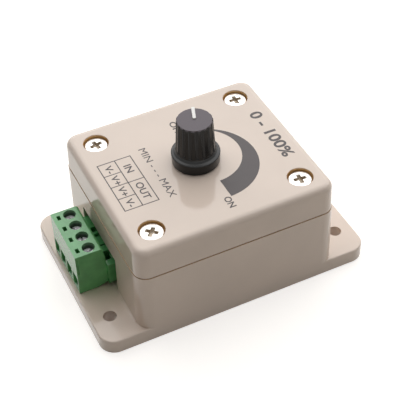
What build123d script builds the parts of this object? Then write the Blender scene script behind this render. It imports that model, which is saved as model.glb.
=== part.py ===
from build123d import *
import os
from math import atan, cos, degrees, hypot, radians, sin, tan

# Rotary light dimmer in a two-part moulded box with mounting ears.
# Frame: the origin is at the middle of the footprint on the ground. +X points away from
# the terminal side, -Y is the long front wall, +Z is up through the knob.

# Box
case_length = 64.0
case_width = 58.0
case_corner_radius = 4.6
case_height = 35.1
parting_height = 25.1
base_draw_in = 0.35
lid_draw_in = 0.32
lid_step = 0.15
lid_edge_radius = 2.1
lid_seam_chamfer = 0.2
wall_thickness = 2.2
floor_thickness = 2.0
lid_wall_thickness = 2.0
lid_plate_thickness = 2.2
tongue_thickness = 0.8
tongue_height = 1.2
tongue_clearance = 0.1

# Mounting ears
ear_reach = 11.675
ear_thickness = 4.7
ear_corner_radius = 5.0
ear_edge_radius = 0.5
ear_foot_radius = 0.6
mount_end_distance = 5.725
mount_side_distance = 9.95
mount_hole_radius = 2.0

# Lid screws and their posts
lid_screw_spacing_x = 46.9
lid_screw_spacing_y = 41.1
lid_screw_radius = 1.5
lid_screw_head_radius = 3.5
lid_screw_head_height = 1.5
lid_screw_length = 14.0
lid_screw_head_round = 0.3
lid_screw_turns = (48.0, 11.8, 83.5, 85.0)
counterbore_radius = 3.9
counterbore_depth = 2.2
counterbore_floor = 1.0
counterbore_wall = 1.0
screw_post_radius = 3.6
screw_hole_clearance = 0.25
thread_clearance = 0.05
post_web_thickness = 1.2
post_web_drop = 2.0
screw_pilot_end_gap = 1.0
screw_tip_share = 0.4
cross_recess_length = 4.0
cross_recess_width = 0.9
cross_recess_depth = 1.2
recess_taper = 12.0

# Circuit board
board_width = 32.4
board_thickness = 1.6
board_top = 6.0
board_end_gap = 0.5
board_post_radius = 2.9
board_screw_end_distance = 3.8
board_screw_side_distance = 3.7
board_screw_socket_distance = 12.8
board_screw_radius = 1.1
board_screw_head_radius = 2.0
board_screw_head_height = 1.3
board_screw_head_round = 0.5
board_screw_recess_length = 2.4
board_screw_recess_width = 0.5
board_screw_recess_depth = 0.7
board_screw_length = 4.6
board_screw_hole_floor = 0.8
lead_hole_clearance = 0.15
lead_tail = 1.1

# Socket on the board and the terminal plug that enters it
poles = 4
pole_pitch = 5.08
terminal_offset = 3.04
header_stand_out = 1.4
header_depth = 12.0
header_height = 7.6
header_end_wall = 1.0
header_wall = 1.0
header_back_wall = 3.0
header_tooth_depth = 2.9
pin_point_chamfer = 0.25
pin_bend_radius = 0.7
header_teeth = ((-11.16, -9.0), (-5.3, -2.9), (-2.3, 1.2), (2.65, 3.6), (5.7, 11.16))
pin_side = 1.0
pin_tip_gap = 1.4
pin_drop_gap = 1.0
window_near_gap = 2.7
window_far_gap = 0.3
window_bottom = 5.0
window_top = 17.5

plug_body_length = 9.1
plug_bottom = 4.9
plug_top = 20.05
plug_shoulder_gap = 0.1
plug_nose_clearance = 0.15
plug_nose_end_gap = 1.0
plug_nose_pockets = ((-8.9, -5.4), (3.7, 5.6))
plug_nose_pocket_length = 2.6
plug_nose_pocket_floor = 8.2
plug_back_step = 0.4
plug_back_step_height = 16.4
plug_back_step_rise = 1.6
plug_back_top_chamfer = 0.65
plug_heel_length = 3.2
plug_heel_rise = 1.0
plug_edge_groove = 0.5
plug_edge_groove_gap = 0.25
plug_edge_groove_depth = 0.25
plug_edge_groove_bottom = 12.8
plug_edge_groove_top = 19.0

clamp_axis_setback = 5.16
clamp_hole_radius = 1.92
clamp_head_radius = 1.85
clamp_head_height = 2.0
clamp_ledge_height = 15.9
clamp_screw_radius = 1.45
clamp_shank_hole_radius = 1.6
clamp_axial_play = 0.1
clamp_head_chamfer = 0.25
clamp_slot_width = 0.6
clamp_slot_depth = 0.8
clamp_cross_length = 2.3
clamp_screw_turns = (35.0, 80.0, 120.0, 5.0)
cage_width = 3.9
cage_length = 4.6
cage_side = 0.5
cage_top_thickness = 1.0
cage_floor_thickness = 0.6
cage_top_height = 12.0
cage_bottom_height = 6.2
cage_bore_clearance = 0.05
chamber_width = 4.2
chamber_length = 5.7
chamber_bottom = 5.9
wire_hole_width = 3.9
wire_hole_height = 3.8
wire_mouth_top = 10.8
wire_mouth_bottom = 5.5
wire_mouth_depth = 1.6
test_slot_length = 1.1
test_slot_width = 1.8
test_slot_depth = 4.5
test_slot_outer_gap = 1.2
contact_bar_thickness = 0.8
contact_bar_width = 2.6
contact_bar_height = 10.7
contact_bar_seat = 0.3
fork_leaf_thickness = 0.4
fork_leaf_height = 1.6
fork_gap = 0.05
fork_nose_gap = 1.0
fork_plate_length = 0.9
fork_cell_width = 3.0
fork_cell_height = 3.2

# Potentiometer under the lid
bushing_radius = 3.5
bushing_length = 5.5
bushing_hole_clearance = 0.15
shaft_radius = 3.0
shaft_running_clearance = 0.05
shaft_length_above_lid = 13.1
shaft_chamfer = 0.4
pot_plate_thickness = 1.0
pot_radius = 8.0
pot_can_height = 7.0
pot_can_wall = 0.5
pot_element_thickness = 1.2
pot_element_side_gap = 0.1
pot_element_hole_radius = 3.5
pot_tongue_width = 12.6
pot_tongue_reach = 11.4
pot_tongue_side_gap = 0.1
rotor_radius = 6.5
rotor_height = 2.9
rotor_end_gap = 0.3
stop_angle = 29.0
stop_gap = 0.3
wiper_thickness = 0.3
wiper_inner_radius = 3.3
wiper_outer_radius = 5.6
wiper_arm_width = 0.8
wiper_track_gap = 0.1
wiper_spread = 12.0
pot_tab_pitch = 5.0
pot_tab_width = 1.4
pot_tab_thickness = 0.4
pot_tab_drop = 4.4
washer_outer_radius = 5.6
washer_thickness = 0.5
nut_across_flats = 10.0
nut_thickness = 2.0
nut_edge_chamfer = 0.3
wire_radius = 0.6
wire_landing_y = -13.5
wire_straight_share = 0.3
wire_bend_share = 0.45

# Knob
knob_gap = 0.3
knob_height = 14.92
knob_top_radius = 5.34
knob_barrel_foot_radius = 5.85
knob_skirt_radius = 7.27
knob_skirt_foot_radius = 7.1
knob_skirt_height = 3.3
knob_flare_height = 1.4
knob_flare_sag_out = 0.3
knob_flare_sag_up = 0.24
knob_top_round = 0.25
knob_rim_round = 0.25
flute_count = 18
flute_radius = 0.55
flute_depth = 0.3
flute_run_out = 2.0
knob_hollow_radius = 6.3
knob_neck_radius = 3.95
knob_hollow_gap = 0.3
knob_shaft_clearance = 0.03
knob_shaft_end_gap = 0.3
pointer_angle = 69.5
pointer_width = 1.0
pointer_start = 0.3
pointer_stand = 0.3
pointer_overhang = 0.15
pointer_depth = 0.8

# Power transistor and its heat sink
transistor_x = 13.5
transistor_width = 10.0
transistor_body_height = 9.2
transistor_body_depth = 3.1
transistor_body_chamfer = 0.4
transistor_tab_height = 15.5
transistor_tab_thickness = 1.3
transistor_tab_chamfer = 0.8
transistor_tab_hole_radius = 1.8
transistor_tab_hole_drop = 2.8
transistor_stand = 4.5
transistor_lead_pitch = 2.54
transistor_lead_width = 0.8
transistor_lead_thickness = 0.5
heat_sink_face_y = 8.0
heat_sink_width = 15.0
heat_sink_height = 20.5
heat_sink_plate = 2.0
heat_sink_fin_length = 5.5
heat_sink_fin_thickness = 1.2
heat_sink_fins = 4
heat_sink_screw_radius = 1.45
heat_sink_screw_head_radius = 2.7
heat_sink_screw_head_height = 2.0
heat_sink_screw_head_round = 0.8
heat_sink_screw_end = 1.5
heat_sink_recess_length = 3.0
heat_sink_recess_width = 0.7
heat_sink_recess_depth = 1.0

# Small parts on the board
chip_place = (14.0, -6.0)
chip_length = 9.8
chip_width = 6.4
chip_height = 3.3
chip_stand = 0.5
chip_notch_radius = 0.8
chip_notch_depth = 0.5
chip_edge_chamfer = 0.3
chip_lead_pitch = 2.54
chip_row_spacing = 7.62
chip_lead_width = 0.5
chip_lead_thickness = 0.3
can_capacitor_place = (-8.0, 8.0)
can_capacitor_radius = 5.0
can_capacitor_height = 13.0
can_capacitor_pitch = 5.0
can_capacitor_groove = 0.35
can_capacitor_groove_height = 2.2
can_capacitor_round = 0.6
can_capacitor_score_width = 0.3
can_capacitor_score_depth = 0.25
film_capacitor_places = ((1.5, -3.0), (1.5, -8.0))
film_capacitor_length = 7.2
film_capacitor_width = 2.6
film_capacitor_height = 6.5
film_capacitor_pitch = 5.08
film_capacitor_round = 0.5
resistor_count = 4
resistor_first_x = -16.0
resistor_spacing = 3.5
resistor_row_y = -6.0
resistor_radius = 1.15
resistor_waist_radius = 0.9
resistor_length = 6.3
resistor_pitch = 10.16
resistor_end_length = 1.8
resistor_end_chamfer = 0.35
diode_end_distance = 5.3
diode_y = 0.0
diode_radius = 1.35
diode_length = 5.2
part_lead_radius = 0.3
lead_bend_radius = 0.8
seat_gap = 0.1

# Values worked out from the sizes above
z_up = (Align.CENTER, Align.CENTER, Align.MIN)
z_down = (Align.CENTER, Align.CENTER, Align.MAX)
base_draft = degrees(atan(base_draw_in / (parting_height - ear_thickness)))
lid_draft = degrees(atan(lid_draw_in / (case_height - parting_height)))
ear_overall_length = case_length + 2 * ear_reach
mount_spacing_x = ear_overall_length - 2 * mount_end_distance
mount_spacing_y = case_width - 2 * mount_side_distance
cavity_length = case_length - 2 * wall_thickness
cavity_width = case_width - 2 * wall_thickness
cavity_radius = case_corner_radius - wall_thickness
lid_length = case_length - 2 * (base_draw_in + lid_step)
lid_width = case_width - 2 * (base_draw_in + lid_step)
lid_radius = case_corner_radius - base_draw_in - lid_step
lid_under = case_height - lid_plate_thickness
counterbore_bottom = case_height - counterbore_depth
lid_screw_places = [
    (sx * lid_screw_spacing_x / 2, sy * lid_screw_spacing_y / 2)
    for sx in (-1, 1)
    for sy in (-1, 1)
]
mount_places = [
    (sx * mount_spacing_x / 2, sy * mount_spacing_y / 2) for sx in (-1, 1) for sy in (-1, 1)
]
board_bottom = board_top - board_thickness
board_length = cavity_length - 2 * board_end_gap
board_screw_x = board_length / 2 - board_screw_end_distance
diode_x = board_length / 2 - diode_end_distance
resistor_columns = [resistor_first_x + n * resistor_spacing for n in range(resistor_count)]
board_screw_y = board_width / 2 - board_screw_side_distance
board_screw_places = [
    (board_screw_x, board_screw_y),
    (board_screw_x, -board_screw_y),
    (-board_screw_x, -board_screw_y),
    (board_screw_socket_distance - board_length / 2, board_screw_y),
]
lead_end = board_bottom - lead_tail
pole_places = [terminal_offset + pole_pitch * (i - (poles - 1) / 2) for i in range(poles)]
plug_width = poles * pole_pitch
header_width = plug_width + 2 * header_end_wall
header_front = -(case_length / 2 + header_stand_out)
header_back = header_front + header_depth
header_top = board_top + header_height
cell_bottom = board_top + header_wall
cell_top = header_top - header_wall
cell_back = header_back - header_back_wall
pin_height = contact_bar_height - contact_bar_thickness / 2
pin_drop_x = header_back + pin_drop_gap + pin_side / 2
plug_back = header_front - plug_shoulder_gap
plug_outer_face = plug_back - plug_body_length
clamp_axis_x = plug_outer_face + clamp_axis_setback
plug_nose_end = cell_back - plug_nose_end_gap
chamber_front = clamp_axis_x - chamber_length / 2
chamber_back = clamp_axis_x + chamber_length / 2
clamp_tip = contact_bar_height + clamp_axial_play
pot_plate_under = lid_under - pot_plate_thickness
pot_can_floor = pot_plate_under - pot_can_height
bushing_top = pot_plate_under + pot_plate_thickness + bushing_length
shaft_top = case_height + shaft_length_above_lid
shaft_foot = pot_can_floor + pot_can_wall + rotor_end_gap
element_bottom = pot_plate_under - pot_element_thickness
nut_top = case_height + washer_thickness + nut_thickness
knob_bottom = case_height + knob_gap
knob_top = knob_bottom + knob_height
skirt_top = knob_bottom + knob_skirt_height
barrel_foot = skirt_top + knob_flare_height
transistor_bottom = board_top + transistor_stand
tab_hole_height = transistor_bottom + transistor_tab_height - transistor_tab_hole_drop
transistor_row_y = heat_sink_face_y - transistor_tab_thickness - transistor_lead_thickness / 2


def block(x0, x1, y0, y1, z0, z1):
    """A box from its low corner to its high corner."""
    centre = Pos((x0 + x1) / 2, (y0 + y1) / 2, (z0 + z1) / 2)
    return centre * Box(x1 - x0, y1 - y0, z1 - z0)


def rod(x, y, z0, z1, radius):
    """An upright cylinder."""
    return Pos(x, y, z0) * Cylinder(radius, z1 - z0, align=z_up)


def rounded_block(length, width, radius, z0, z1, draft=0.0):
    """An upright block with rounded corners that may narrow towards its top."""
    outline = RectangleRounded(length, width, radius)
    return Pos(0, 0, z0) * extrude(outline, z1 - z0, taper=draft)


def ring(outer_radius, inner_radius, z0, z1):
    """A flat ring about the knob's axis."""
    return rod(0, 0, z0, z1, outer_radius) - rod(0, 0, z0, z1, inner_radius)


def sector(inner_radius, outer_radius, angle, width, z0, z1):
    """A piece of a ring, centred on an angle, for the rotation stops."""
    reach = 2 * outer_radius
    half = radians(width / 2)
    wedge = make_face(Polyline((0, 0), (reach, -reach * tan(half)), (reach, reach * tan(half)), (0, 0)))
    wedge = Rot(0, 0, angle) * Pos(0, 0, z0) * extrude(wedge, z1 - z0)
    return ring(outer_radius, inner_radius, z0, z1) & wedge


def side_profile(points, thickness, y):
    """An outline in X and Z, given a thickness along Y and centred on a place there."""
    outline = make_face(Plane.XZ * Polyline(*points, points[0]))
    return Pos(0, y, 0) * extrude(outline, thickness / 2, both=True)


def bent_lead(x0, x1, y, top, radius):
    """A component's wire that runs along X and turns down through the board at both ends."""
    corners = [(x0, y, lead_end), (x0, y, top), (x1, y, top), (x1, y, lead_end)]
    path = FilletPolyline(*corners, radius=lead_bend_radius)
    profile = Plane(origin=(x0, y, lead_end), z_dir=(0, 0, 1)) * Circle(radius)
    return sweep(profile, path=path)


# Box


def wall_foot(side):
    """The hollow round where an end wall rises from its ear."""
    length = case_width - 2 * case_corner_radius
    wall = side * case_length / 2
    round_x = wall + side * ear_foot_radius
    low, high = sorted((wall - side * ear_foot_radius, round_x))
    foot = block(low, high, -length / 2, length / 2, ear_thickness, ear_thickness + ear_foot_radius)
    hollow = Rot(90, 0, 0) * Cylinder(ear_foot_radius, length)
    return foot - Pos(round_x, 0, ear_thickness + ear_foot_radius) * hollow


def base():
    ears = rounded_block(ear_overall_length, case_width, ear_corner_radius, 0, ear_thickness)
    ears = fillet(ears.faces().sort_by(Axis.Z)[-1].outer_wire().edges(), ear_edge_radius)
    foot = rounded_block(case_length, case_width, case_corner_radius, 0, ear_thickness)
    walls = rounded_block(
        case_length, case_width, case_corner_radius, ear_thickness, parting_height, base_draft
    )
    cavity = rounded_block(cavity_length, cavity_width, cavity_radius, floor_thickness, parting_height)
    shell = ears + foot + walls + wall_foot(-1) + wall_foot(1) - cavity
    tongue = rounded_block(
        cavity_length + 2 * tongue_thickness,
        cavity_width + 2 * tongue_thickness,
        cavity_radius + tongue_thickness,
        parting_height,
        parting_height + tongue_height,
    )
    tongue -= rounded_block(
        cavity_length, cavity_width, cavity_radius, parting_height, parting_height + tongue_height
    )
    shell += tongue
    web_top = parting_height - post_web_drop
    half_web = post_web_thickness / 2
    for x, y in lid_screw_places:
        shell += rod(x, y, floor_thickness, parting_height, screw_post_radius)
        wall_x = cavity_length / 2 if x > 0 else -cavity_length / 2
        wall_y = cavity_width / 2 if y > 0 else -cavity_width / 2
        shell += block(min(x, wall_x), max(x, wall_x), y - half_web, y + half_web, floor_thickness, web_top)
        shell += block(x - half_web, x + half_web, min(y, wall_y), max(y, wall_y), floor_thickness, web_top)
    for x, y in lid_screw_places:
        bottom = counterbore_bottom - lid_screw_length - screw_pilot_end_gap
        shell -= rod(x, y, bottom, parting_height, lid_screw_radius + thread_clearance)
    for x, y in board_screw_places:
        shell += rod(x, y, floor_thickness, board_bottom, board_post_radius)
    for x, y in board_screw_places:
        shell -= rod(x, y, board_screw_hole_floor, board_bottom, board_screw_radius + thread_clearance)
    for x, y in mount_places:
        shell -= rod(x, y, 0, ear_thickness, mount_hole_radius)
    shell -= block(
        -case_length / 2 - ear_foot_radius,
        -cavity_length / 2,
        terminal_offset - header_width / 2 - window_near_gap,
        terminal_offset + header_width / 2 + window_far_gap,
        window_bottom,
        window_top,
    )
    return shell


def lid():
    shell = rounded_block(lid_length, lid_width, lid_radius, parting_height, case_height, lid_draft)
    shell = fillet(shell.faces().sort_by(Axis.Z)[-1].outer_wire().edges(), lid_edge_radius)
    shell = chamfer(shell.faces().sort_by(Axis.Z)[0].outer_wire().edges(), lid_seam_chamfer)
    shell -= rounded_block(
        lid_length - 2 * lid_wall_thickness,
        lid_width - 2 * lid_wall_thickness,
        lid_radius - lid_wall_thickness,
        parting_height,
        lid_under,
    )
    groove = tongue_thickness + tongue_clearance
    shell -= rounded_block(
        cavity_length + 2 * groove,
        cavity_width + 2 * groove,
        cavity_radius + groove,
        parting_height,
        parting_height + tongue_height + tongue_clearance,
    )
    for x, y in lid_screw_places:
        cup_bottom = counterbore_bottom - counterbore_floor
        shell += rod(x, y, cup_bottom, lid_under, counterbore_radius + counterbore_wall)
        shell += rod(x, y, parting_height, lid_under, screw_post_radius)
    for x, y in lid_screw_places:
        shell -= rod(x, y, counterbore_bottom, case_height, counterbore_radius)
        shell -= rod(x, y, parting_height, case_height, lid_screw_radius + screw_hole_clearance)
    shell -= rod(0, 0, lid_under, case_height, bushing_radius + bushing_hole_clearance)
    return shell


def pan_head_screw(radius, length, head_radius, head_height, head_round):
    """A screw with its head's seat at the origin, its point down."""
    head = Cylinder(head_radius, head_height, align=z_up)
    head = fillet(head.faces().sort_by(Axis.Z)[-1].edges(), head_round)
    tip = Pos(0, 0, -length) * Cone(radius * screw_tip_share, radius, radius, align=z_up)
    shank = Cylinder(radius, length - radius, align=z_down)
    return head + shank + tip


def cross_recess(head_height, length, width, depth):
    """The cross-shaped pocket for the driver, tapering towards its bottom."""
    arm = Pos(0, 0, head_height) * extrude(Rectangle(length, width), -depth, taper=recess_taper)
    return arm + Rot(0, 0, 90) * arm


def lid_screws():
    screws = []
    for (x, y), turn in zip(lid_screw_places, lid_screw_turns):
        screw = pan_head_screw(
            lid_screw_radius,
            lid_screw_length,
            lid_screw_head_radius,
            lid_screw_head_height,
            lid_screw_head_round,
        )
        screw -= cross_recess(
            lid_screw_head_height, cross_recess_length, cross_recess_width, cross_recess_depth
        )
        screws.append(Pos(x, y, counterbore_bottom) * Rot(0, 0, turn) * screw)
    return screws


# Circuit board


def lead_places():
    """Where component wires pass through the board, each with the radius of its hole."""
    holes = []
    for y in pole_places:
        holes.append((pin_drop_x, y, hypot(pin_side, pin_side) / 2 + lead_hole_clearance))
    flat = hypot(transistor_lead_width, transistor_lead_thickness) / 2 + lead_hole_clearance
    for i in (-1, 0, 1):
        holes.append((transistor_x + i * transistor_lead_pitch, transistor_row_y, flat))
    narrow = hypot(chip_lead_width, chip_lead_thickness) / 2 + lead_hole_clearance
    for i in (-1.5, -0.5, 0.5, 1.5):
        for side in (-1, 1):
            y = chip_place[1] + side * chip_row_spacing / 2
            holes.append((chip_place[0] + i * chip_lead_pitch, y, narrow))
    thin = part_lead_radius + lead_hole_clearance
    for side in (-1, 1):
        holes.append((can_capacitor_place[0] + side * can_capacitor_pitch / 2, can_capacitor_place[1], thin))
        for x, y in film_capacitor_places:
            holes.append((x + side * film_capacitor_pitch / 2, y, thin))
        for x in resistor_columns:
            holes.append((x, resistor_row_y + side * resistor_pitch / 2, thin))
        holes.append((diode_x, diode_y + side * resistor_pitch / 2, thin))
    return holes


def circuit_board():
    board = block(
        -board_length / 2, board_length / 2, -board_width / 2, board_width / 2, board_bottom, board_top
    )
    for x, y, radius in lead_places():
        board -= rod(x, y, board_bottom, board_top, radius)
    for x, y in board_screw_places:
        board -= rod(x, y, board_bottom, board_top, board_screw_radius + screw_hole_clearance)
    return board


def board_screws():
    screw = pan_head_screw(
        board_screw_radius,
        board_screw_length,
        board_screw_head_radius,
        board_screw_head_height,
        board_screw_head_round,
    )
    screw -= cross_recess(
        board_screw_head_height,
        board_screw_recess_length,
        board_screw_recess_width,
        board_screw_recess_depth,
    )
    return [Pos(x, y, board_top) * screw for x, y in board_screw_places]


# Socket and plug


def header_housing():
    low = terminal_offset - header_width / 2
    high = terminal_offset + header_width / 2
    shell = block(header_front, header_back, low, high, board_top, header_top)
    shell -= block(
        header_front, cell_back, low + header_end_wall, high - header_end_wall, cell_bottom, cell_top
    )
    teeth = sorted(header_teeth)
    for (_, gap_low), (gap_high, _) in zip(teeth, teeth[1:]):
        shell -= block(
            header_front,
            header_front + header_tooth_depth,
            terminal_offset + gap_low,
            terminal_offset + gap_high,
            cell_top,
            header_top,
        )
    half = pin_side / 2
    for y in pole_places:
        shell -= block(cell_back, header_back, y - half, y + half, pin_height - half, pin_height + half)
    return shell


def header_pins():
    half = pin_side / 2
    front = header_front + pin_tip_gap
    pins = []
    for y in pole_places:
        pin = block(front, pin_drop_x + half, y - half, y + half, pin_height - half, pin_height + half)
        pin = chamfer(pin.faces().sort_by(Axis.X)[0].edges(), pin_point_chamfer)
        pin += block(pin_drop_x - half, pin_drop_x + half, y - half, y + half, lead_end, pin_height)
        outer = pin.edges().filter_by(Axis.Y).sort_by(Axis.X)[-2:].sort_by(Axis.Z)[-1]
        pins.append(fillet(outer, pin_bend_radius))
    return pins


def plug_housing():
    nose_low = cell_bottom + plug_nose_clearance
    nose_high = cell_top - plug_nose_clearance
    step_x = plug_back - plug_back_step
    outline = [
        (plug_outer_face, plug_bottom),
        (plug_back - plug_heel_length, plug_bottom),
        (plug_back, plug_bottom + plug_heel_rise),
        (plug_back, nose_low),
        (plug_nose_end, nose_low),
        (plug_nose_end, nose_high),
        (plug_back, nose_high),
        (plug_back, plug_back_step_height),
        (step_x, plug_back_step_height + plug_back_step_rise),
        (step_x, plug_top - plug_back_top_chamfer),
        (step_x - plug_back_top_chamfer, plug_top),
        (plug_outer_face, plug_top),
    ]
    body = side_profile(outline, plug_width, terminal_offset)
    for low, high in plug_nose_pockets:
        body -= block(
            plug_back,
            plug_back + plug_nose_pocket_length,
            terminal_offset + low,
            terminal_offset + high,
            plug_nose_pocket_floor,
            nose_high,
        )
    for side in (-1, 1):
        y = terminal_offset + side * plug_width / 2
        body -= block(
            plug_outer_face + plug_edge_groove_gap,
            plug_outer_face + plug_edge_groove_gap + plug_edge_groove,
            y - plug_edge_groove_depth,
            y + plug_edge_groove_depth,
            plug_edge_groove_bottom,
            plug_edge_groove_top,
        )
    for y in pole_places:
        body -= plug_cell(y)
    return body


def plug_cell(y):
    """The hollows of one pole: screw shaft, clamp chamber, wire funnel, test slot, contact cell."""
    half = chamber_width / 2
    wire_half = wire_hole_width / 2
    wire_top = chamber_bottom + wire_hole_height
    cell = rod(clamp_axis_x, y, clamp_ledge_height, plug_top, clamp_hole_radius)
    cell += rod(clamp_axis_x, y, cage_top_height, clamp_ledge_height, clamp_shank_hole_radius)
    cell += block(
        chamber_front,
        chamber_back,
        y - half,
        y + half,
        chamber_bottom,
        clamp_ledge_height - clamp_axial_play,
    )
    cell += block(plug_outer_face, chamber_front, y - wire_half, y + wire_half, chamber_bottom, wire_top)
    mouth = [
        (plug_outer_face, wire_mouth_bottom),
        (plug_outer_face + wire_mouth_depth, chamber_bottom),
        (plug_outer_face + wire_mouth_depth, wire_top),
        (plug_outer_face, wire_mouth_top),
    ]
    cell += side_profile(mouth, wire_hole_width, y)
    slot_x = plug_outer_face + test_slot_outer_gap
    cell += block(
        slot_x,
        slot_x + test_slot_length,
        y - test_slot_width / 2,
        y + test_slot_width / 2,
        plug_top - test_slot_depth,
        plug_top,
    )
    bar_half = contact_bar_width / 2
    bar_bottom = contact_bar_height - contact_bar_thickness
    cell += block(
        chamber_front - contact_bar_seat,
        chamber_front,
        y - bar_half,
        y + bar_half,
        bar_bottom,
        contact_bar_height,
    )
    fork_bottom = pin_height - fork_cell_height / 2
    fork_top = pin_height + fork_cell_height / 2
    fork_half = fork_cell_width / 2
    cell += block(chamber_back, plug_nose_end, y - fork_half, y + fork_half, fork_bottom, fork_top)
    return cell


def plug_contacts():
    bar_half = contact_bar_width / 2
    leaf_inner = pin_side / 2 + fork_gap
    leaf_outer = leaf_inner + fork_leaf_thickness
    leaf_bottom = pin_height - fork_leaf_height / 2
    leaf_top = pin_height + fork_leaf_height / 2
    fork_end = plug_nose_end - fork_nose_gap
    plate_front = chamber_back + contact_bar_seat
    plate_back = plate_front + fork_plate_length
    contacts = []
    for y in pole_places:
        contact = block(
            chamber_front - contact_bar_seat,
            plate_back,
            y - bar_half,
            y + bar_half,
            contact_bar_height - contact_bar_thickness,
            contact_bar_height,
        )
        contact += block(plate_front, plate_back, y - bar_half, y + bar_half, leaf_bottom, leaf_top)
        for side in (-1, 1):
            low, high = sorted((y + side * leaf_inner, y + side * leaf_outer))
            contact += block(plate_front, fork_end, low, high, leaf_bottom, leaf_top)
        contacts.append(contact)
    return contacts


def clamp_screw(y, turn):
    seat = clamp_ledge_height + clamp_axial_play
    head = Cylinder(clamp_head_radius, clamp_head_height, align=z_up)
    head = chamfer(head.faces().sort_by(Axis.Z)[-1].edges(), clamp_head_chamfer)
    slot = Box(2 * clamp_hole_radius, clamp_slot_width, clamp_slot_depth, align=z_down)
    cross = Box(clamp_slot_width, clamp_cross_length, clamp_slot_depth, align=z_down)
    head -= Pos(0, 0, clamp_head_height) * (slot + cross)
    shank = Cylinder(clamp_screw_radius, seat - clamp_tip, align=z_down)
    return Pos(clamp_axis_x, y, seat) * Rot(0, 0, turn) * (head + shank)


def clamp_cage(y):
    half_length = cage_length / 2
    half_width = cage_width / 2
    cage = block(
        clamp_axis_x - half_length,
        clamp_axis_x + half_length,
        y - half_width,
        y + half_width,
        cage_bottom_height,
        cage_top_height,
    )
    cage -= block(
        clamp_axis_x - half_length,
        clamp_axis_x + half_length,
        y - half_width + cage_side,
        y + half_width - cage_side,
        cage_bottom_height + cage_floor_thickness,
        cage_top_height - cage_top_thickness,
    )
    bore = clamp_screw_radius + cage_bore_clearance
    return cage - rod(clamp_axis_x, y, cage_top_height - cage_top_thickness, cage_top_height, bore)


# Potentiometer


def pot_plate():
    plate = rod(0, 0, pot_plate_under, lid_under, pot_radius)
    bushing = rod(0, 0, lid_under, bushing_top, bushing_radius)
    bushing = chamfer(bushing.faces().sort_by(Axis.Z)[-1].edges(), nut_edge_chamfer)
    return plate + bushing - rod(0, 0, pot_plate_under, bushing_top, shaft_radius + shaft_running_clearance)


def pot_can():
    inner = pot_radius - pot_can_wall
    can = rod(0, 0, pot_can_floor, pot_plate_under, pot_radius)
    can -= rod(0, 0, pot_can_floor + pot_can_wall, pot_plate_under, inner)
    slot_half = pot_tongue_width / 2 + pot_tongue_side_gap
    slot_bottom = element_bottom - pot_tab_thickness - pot_tongue_side_gap
    can -= block(-slot_half, slot_half, -pot_radius, 0, slot_bottom, pot_plate_under)
    stop_bottom = pot_can_floor + pot_can_wall
    stop_top = shaft_foot + rotor_height
    return can + sector(rotor_radius + stop_gap, inner, 180, stop_angle, stop_bottom, stop_top)


def pot_element():
    disc_radius = pot_radius - pot_can_wall - pot_element_side_gap
    half = pot_tongue_width / 2
    element = rod(0, 0, element_bottom, pot_plate_under, disc_radius)
    element += block(-half, half, -pot_tongue_reach, 0, element_bottom, pot_plate_under)
    return element - rod(0, 0, element_bottom, pot_plate_under, pot_element_hole_radius)


def pot_terminals():
    flat_bottom = element_bottom - pot_tab_thickness
    drop_bottom = flat_bottom - pot_tab_drop
    drop_y = -pot_tongue_reach + pot_tab_thickness
    tabs = []
    for i in (-1, 0, 1):
        x0 = i * pot_tab_pitch - pot_tab_width / 2
        x1 = x0 + pot_tab_width
        tab = block(x0, x1, -pot_tongue_reach, -pot_radius, flat_bottom, element_bottom)
        tab += block(x0, x1, -pot_tongue_reach, drop_y, drop_bottom, element_bottom)
        tabs.append(tab)
    return tabs


def pot_shaft():
    shaft = rod(0, 0, shaft_foot, shaft_top, shaft_radius)
    shaft = chamfer(shaft.faces().sort_by(Axis.Z)[-1].edges(), shaft_chamfer)
    shaft += rod(0, 0, shaft_foot, shaft_foot + rotor_height, rotor_radius)
    lug_inner = rotor_radius - stop_gap
    lug_outer = pot_radius - pot_can_wall - stop_gap
    lug_top = shaft_foot + rotor_height
    return shaft + sector(lug_inner, lug_outer, pointer_angle, stop_angle, shaft_foot, lug_top)


def pot_wiper():
    seat = shaft_foot + rotor_height
    wiper = ring(wiper_outer_radius, wiper_inner_radius, seat, seat + wiper_thickness)
    tip = element_bottom - wiper_track_gap
    reach = (wiper_inner_radius + wiper_outer_radius) / 2
    for side in (-1, 1):
        angle = radians(pointer_angle + 180 + side * wiper_spread)
        x = reach * cos(angle)
        y = reach * sin(angle)
        wiper += rod(x, y, seat, tip, wiper_arm_width / 2)
    return wiper


def pot_washer():
    bore = bushing_radius + thread_clearance
    return ring(washer_outer_radius, bore, case_height, case_height + washer_thickness)


def pot_nut():
    bottom = case_height + washer_thickness
    hexagon = RegularPolygon(nut_across_flats / 2, 6, major_radius=False)
    nut = Pos(0, 0, bottom) * extrude(hexagon, nut_thickness)
    corner = nut_across_flats / 2 / cos(radians(30))
    crown = rod(0, 0, bottom, nut_top, corner)
    crown = chamfer(crown.faces().sort_by(Axis.Z)[-1].edges(), nut_edge_chamfer)
    return (nut & crown) - rod(0, 0, bottom, nut_top, bushing_radius + thread_clearance)


def control_wires():
    """Three wires from the tabs down to the board, each with two easy bends."""
    top = element_bottom - pot_tab_thickness - pot_tab_drop
    start_y = -pot_tongue_reach + pot_tab_thickness / 2
    straight = wire_straight_share * (top - board_top)
    slope = top - board_top - 2 * straight
    turn = atan(abs(wire_landing_y - start_y) / slope)
    bend = wire_bend_share * straight / tan(turn / 2)
    wires = []
    for i in (-1, 0, 1):
        x = i * pot_tab_pitch
        corners = [
            (x, start_y, top),
            (x, start_y, top - straight),
            (x, wire_landing_y, board_top + straight),
            (x, wire_landing_y, board_top),
        ]
        path = FilletPolyline(*corners, radius=bend)
        profile = Plane(origin=corners[0], z_dir=(0, 0, -1)) * Circle(wire_radius)
        wires.append(sweep(profile, path=path))
    return wires


# Knob


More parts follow.
